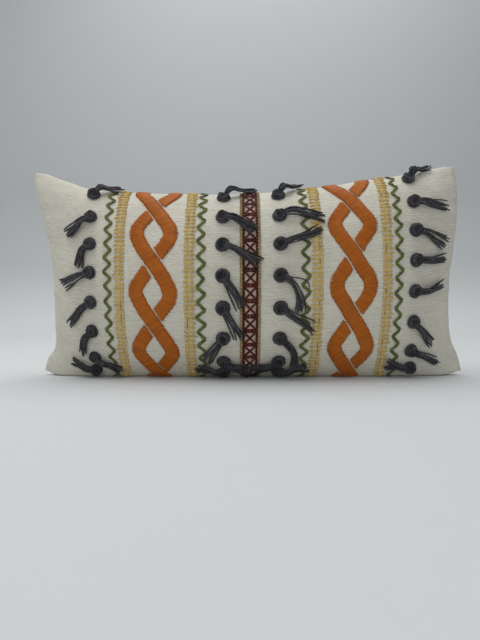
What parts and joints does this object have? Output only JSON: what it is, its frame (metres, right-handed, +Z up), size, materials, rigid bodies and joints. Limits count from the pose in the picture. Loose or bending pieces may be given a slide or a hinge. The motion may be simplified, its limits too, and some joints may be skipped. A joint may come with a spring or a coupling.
{
  "type": "throw pillow",
  "caption": "Plump rectangular throw pillow of cream cloth with upright bands of bright embroidery, knotted yarn tassels, a zipped cover and a fibre insert.",
  "frame": {"origin": "middle of the bounding box, at its bottom face, where the pillow stands on its long bottom edge", "axes": "+X along the width to the right of the embroidered front, +Y to the back, +Z up"},
  "size_m": [0.6488, 0.1754, 0.322],
  "materials": {
    "cover_cloth": "cream slubbed cotton, matt, coarse plain weave",
    "insert_cloth": "white non-woven insert cloth",
    "fibre": "white polyester fibre",
    "zip_tape": "cream woven tape",
    "zip_coil": "cream nylon coil",
    "zip_metal": "brushed grey metal",
    "maroon_thread": "dark maroon stranded thread",
    "braid_thread": "old gold chain stitch",
    "olive_thread": "olive green stranded thread",
    "gold_thread": "pale gold stranded thread",
    "rust_thread": "burnt orange satin stitch, soft sheen",
    "charcoal_yarn": "charcoal wool yarn, fuzzy and matt"
  },
  "bodies": {
    "cushion": {"front_panel": "cover_cloth", "back_panel": "cover_cloth", "insert_front": "insert_cloth", "insert_back": "insert_cloth", "fibre_fill": "fibre", "zip_tape_back": "zip_tape", "zip_tape_front": "zip_tape", "zip_coil_back": "zip_coil", "zip_coil_front": "zip_coil", "zip_top_stop": "zip_metal", "zip_bottom_stop": "zip_metal", "lattice_band": "maroon_thread", "left_gold_braid": "braid_thread", "left_inner_zigzag": "olive_thread", "left_outer_zigzag": "olive_thread", "left_inner_ladder": "gold_thread", "left_outer_ladder": "gold_thread", "left_chain": "rust_thread", "right_gold_braid": "braid_thread", "right_inner_zigzag": "olive_thread", "right_outer_zigzag": "olive_thread", "right_inner_ladder": "gold_thread", "right_outer_ladder": "gold_thread", "right_chain": "rust_thread"},
    "zip_slider": {"zip_slider": "zip_metal"},
    "zip_pull": {"zip_pull": "zip_metal"},
    "tassel_left_outer_1": {"tassel_left_outer_1": "charcoal_yarn"},
    "tassel_left_outer_2": {"tassel_left_outer_2": "charcoal_yarn"},
    "tassel_left_outer_3": {"tassel_left_outer_3": "charcoal_yarn"},
    "tassel_left_outer_4": {"tassel_left_outer_4": "charcoal_yarn"},
    "tassel_left_outer_5": {"tassel_left_outer_5": "charcoal_yarn"},
    "tassel_left_outer_6": {"tassel_left_outer_6": "charcoal_yarn"},
    "tassel_left_outer_7": {"tassel_left_outer_7": "charcoal_yarn"},
    "tassel_left_outer_8": {"tassel_left_outer_8": "charcoal_yarn"},
    "tassel_left_inner_1": {"tassel_left_inner_1": "charcoal_yarn"},
    "tassel_left_inner_2": {"tassel_left_inner_2": "charcoal_yarn"},
    "tassel_left_inner_3": {"tassel_left_inner_3": "charcoal_yarn"},
    "tassel_left_inner_4": {"tassel_left_inner_4": "charcoal_yarn"},
    "tassel_left_inner_5": {"tassel_left_inner_5": "charcoal_yarn"},
    "tassel_left_inner_6": {"tassel_left_inner_6": "charcoal_yarn"},
    "tassel_left_inner_7": {"tassel_left_inner_7": "charcoal_yarn"},
    "tassel_left_inner_8": {"tassel_left_inner_8": "charcoal_yarn"},
    "tassel_right_inner_1": {"tassel_right_inner_1": "charcoal_yarn"},
    "tassel_right_inner_2": {"tassel_right_inner_2": "charcoal_yarn"},
    "tassel_right_inner_3": {"tassel_right_inner_3": "charcoal_yarn"},
    "tassel_right_inner_4": {"tassel_right_inner_4": "charcoal_yarn"},
    "tassel_right_inner_5": {"tassel_right_inner_5": "charcoal_yarn"},
    "tassel_right_inner_6": {"tassel_right_inner_6": "charcoal_yarn"},
    "tassel_right_inner_7": {"tassel_right_inner_7": "charcoal_yarn"},
    "tassel_right_inner_8": {"tassel_right_inner_8": "charcoal_yarn"},
    "tassel_right_outer_1": {"tassel_right_outer_1": "charcoal_yarn"},
    "tassel_right_outer_2": {"tassel_right_outer_2": "charcoal_yarn"},
    "tassel_right_outer_3": {"tassel_right_outer_3": "charcoal_yarn"},
    "tassel_right_outer_4": {"tassel_right_outer_4": "charcoal_yarn"},
    "tassel_right_outer_5": {"tassel_right_outer_5": "charcoal_yarn"},
    "tassel_right_outer_6": {"tassel_right_outer_6": "charcoal_yarn"},
    "tassel_right_outer_7": {"tassel_right_outer_7": "charcoal_yarn"},
    "tassel_right_outer_8": {"tassel_right_outer_8": "charcoal_yarn"}
  },
  "joints": [
    {"name": "zip_slide", "type": "slide", "parent": "cushion", "child": "zip_slider", "axis": [-1, 0, 0], "range_m": [0, 0.39]},
    {"name": "zip_pull_hinge", "type": "hinge", "parent": "zip_slider", "child": "zip_pull", "pos_m": [0.1881, 0.00455, 0.002], "axis": [0, -1, 0], "range_deg": [0, 180]},
    {"name": "swing_left_outer_1", "type": "hinge", "parent": "cushion", "child": "tassel_left_outer_1", "pos_m": [-0.22672, -0.01723, 0.27503], "axis": [-0.0012, -0.7512, 0.6601], "range_deg": [-15, 15]},
    {"name": "swing_left_outer_2", "type": "hinge", "parent": "cushion", "child": "tassel_left_outer_2", "pos_m": [-0.22513, -0.03851, 0.23877], "axis": [-0.1569, -0.9146, 0.3726], "range_deg": [-15, 15]},
    {"name": "swing_left_outer_3", "type": "hinge", "parent": "cushion", "child": "tassel_left_outer_3", "pos_m": [-0.22467, -0.05059, 0.19836], "axis": [-0.2435, -0.9503, 0.1942], "range_deg": [-15, 15]},
    {"name": "swing_left_outer_4", "type": "hinge", "parent": "cushion", "child": "tassel_left_outer_4", "pos_m": [-0.22461, -0.05597, 0.15651], "axis": [-0.283, -0.9576, 0.0535], "range_deg": [-15, 15]},
    {"name": "swing_left_outer_5", "type": "hinge", "parent": "cushion", "child": "tassel_left_outer_5", "pos_m": [-0.22461, -0.05542, 0.11432], "axis": [-0.2838, -0.9557, -0.0787], "range_deg": [-15, 15]},
    {"name": "swing_left_outer_6", "type": "hinge", "parent": "cushion", "child": "tassel_left_outer_6", "pos_m": [-0.22473, -0.04885, 0.07264], "axis": [-0.2461, -0.9435, -0.2219], "range_deg": [-15, 15]},
    {"name": "swing_left_outer_7", "type": "hinge", "parent": "cushion", "child": "tassel_left_outer_7", "pos_m": [-0.22539, -0.0355, 0.03307], "axis": [-0.1605, -0.8989, -0.4077], "range_deg": [-15, 15]},
    {"name": "swing_left_outer_8", "type": "hinge", "parent": "cushion", "child": "tassel_left_outer_8", "pos_m": [-0.22621, -0.02499, 0.014], "axis": [-0.0938, -0.8332, -0.545], "range_deg": [-15, 15]},
    {"name": "swing_left_inner_1", "type": "hinge", "parent": "cushion", "child": "tassel_left_inner_1", "pos_m": [-0.0356, -0.02426, 0.27088], "axis": [-0.0028, -0.6233, 0.782], "range_deg": [-15, 15]},
    {"name": "swing_left_inner_2", "type": "hinge", "parent": "cushion", "child": "tassel_left_inner_2", "pos_m": [-0.0356, -0.05291, 0.23683], "axis": [-0.0079, -0.8619, 0.507], "range_deg": [-15, 15]},
    {"name": "swing_left_inner_3", "type": "hinge", "parent": "cushion", "child": "tassel_left_inner_3", "pos_m": [-0.0356, -0.07034, 0.19575], "axis": [-0.0115, -0.9614, 0.2749], "range_deg": [-15, 15]},
    {"name": "swing_left_inner_4", "type": "hinge", "parent": "cushion", "child": "tassel_left_inner_4", "pos_m": [-0.0356, -0.07786, 0.15172], "axis": [-0.013, -0.998, 0.0619], "range_deg": [-15, 15]},
    {"name": "swing_left_inner_5", "type": "hinge", "parent": "cushion", "child": "tassel_left_inner_5", "pos_m": [-0.0356, -0.07586, 0.10711], "axis": [-0.0124, -0.9887, -0.1495], "range_deg": [-15, 15]},
    {"name": "swing_left_inner_6", "type": "hinge", "parent": "cushion", "child": "tassel_left_inner_6", "pos_m": [-0.0356, -0.06431, 0.06397], "axis": [-0.0095, -0.929, -0.3699], "range_deg": [-15, 15]},
    {"name": "swing_left_inner_7", "type": "hinge", "parent": "cushion", "child": "tassel_left_inner_7", "pos_m": [-0.0356, -0.04506, 0.02869], "axis": [-0.0054, -0.8076, -0.5897], "range_deg": [-15, 15]},
    {"name": "swing_left_inner_8", "type": "hinge", "parent": "cushion", "child": "tassel_left_inner_8", "pos_m": [-0.0356, -0.02983, 0.01137], "axis": [-0.0025, -0.6771, -0.7359], "range_deg": [-15, 15]},
    {"name": "swing_right_inner_1", "type": "hinge", "parent": "cushion", "child": "tassel_right_inner_1", "pos_m": [0.0444, -0.02509, 0.27168], "axis": [-0.0367, -0.6349, 0.7717], "range_deg": [-15, 15]},
    {"name": "swing_right_inner_2", "type": "hinge", "parent": "cushion", "child": "tassel_right_inner_2", "pos_m": [0.0444, -0.05339, 0.23713], "axis": [-0.0112, -0.8664, 0.4993], "range_deg": [-15, 15]},
    {"name": "swing_right_inner_3", "type": "hinge", "parent": "cushion", "child": "tassel_right_inner_3", "pos_m": [0.0444, -0.07051, 0.19575], "axis": [0.0066, -0.9633, 0.2684], "range_deg": [-15, 15]},
    {"name": "swing_right_inner_4", "type": "hinge", "parent": "cushion", "child": "tassel_right_inner_4", "pos_m": [0.0444, -0.07775, 0.15153], "axis": [0.0173, -0.9982, 0.0572], "range_deg": [-15, 15]},
    {"name": "swing_right_inner_5", "type": "hinge", "parent": "cushion", "child": "tassel_right_inner_5", "pos_m": [0.0444, -0.07557, 0.10677], "axis": [0.0213, -0.9877, -0.1551], "range_deg": [-15, 15]},
    {"name": "swing_right_inner_6", "type": "hinge", "parent": "cushion", "child": "tassel_right_inner_6", "pos_m": [0.0444, -0.06385, 0.06353], "axis": [0.0184, -0.9285, -0.371], "range_deg": [-15, 15]},
    {"name": "swing_right_inner_7", "type": "hinge", "parent": "cushion", "child": "tassel_right_inner_7", "pos_m": [0.0444, -0.04507, 0.02897], "axis": [0.0112, -0.8107, -0.5853], "range_deg": [-15, 15]},
    {"name": "swing_right_inner_8", "type": "hinge", "parent": "cushion", "child": "tassel_right_inner_8", "pos_m": [0.0444, -0.02988, 0.01153], "axis": [0.0054, -0.6813, -0.732], "range_deg": [-15, 15]},
    {"name": "swing_right_outer_1", "type": "hinge", "parent": "cushion", "child": "tassel_right_outer_1", "pos_m": [0.23808, -0.01313, 0.29547], "axis": [-0.0292, -0.7489, 0.6621], "range_deg": [-15, 15]},
    {"name": "swing_right_outer_2", "type": "hinge", "parent": "cushion", "child": "tassel_right_outer_2", "pos_m": [0.23567, -0.03445, 0.25738], "axis": [0.1677, -0.9224, 0.3478], "range_deg": [-15, 15]},
    {"name": "swing_right_outer_3", "type": "hinge", "parent": "cushion", "child": "tassel_right_outer_3", "pos_m": [0.23494, -0.04636, 0.21522], "axis": [0.274, -0.9438, 0.1849], "range_deg": [-15, 15]},
    {"name": "swing_right_outer_4", "type": "hinge", "parent": "cushion", "child": "tassel_right_outer_4", "pos_m": [0.23483, -0.05198, 0.17175], "axis": [0.3223, -0.9446, 0.0618], "range_deg": [-15, 15]},
    {"name": "swing_right_outer_5", "type": "hinge", "parent": "cushion", "child": "tassel_right_outer_5", "pos_m": [0.23483, -0.05221, 0.12791], "axis": [0.3299, -0.9426, -0.0511], "range_deg": [-15, 15]},
    {"name": "swing_right_outer_6", "type": "hinge", "parent": "cushion", "child": "tassel_right_outer_6", "pos_m": [0.23494, -0.04712, 0.08437], "axis": [0.2977, -0.9394, -0.1702], "range_deg": [-15, 15]},
    {"name": "swing_right_outer_7", "type": "hinge", "parent": "cushion", "child": "tassel_right_outer_7", "pos_m": [0.23567, -0.0359, 0.04202], "axis": [0.2169, -0.9199, -0.3267], "range_deg": [-15, 15]},
    {"name": "swing_right_outer_8", "type": "hinge", "parent": "cushion", "child": "tassel_right_outer_8", "pos_m": [0.23694, -0.02439, 0.0164], "axis": [0.1284, -0.8671, -0.4813], "range_deg": [-15, 15]}
  ]
}
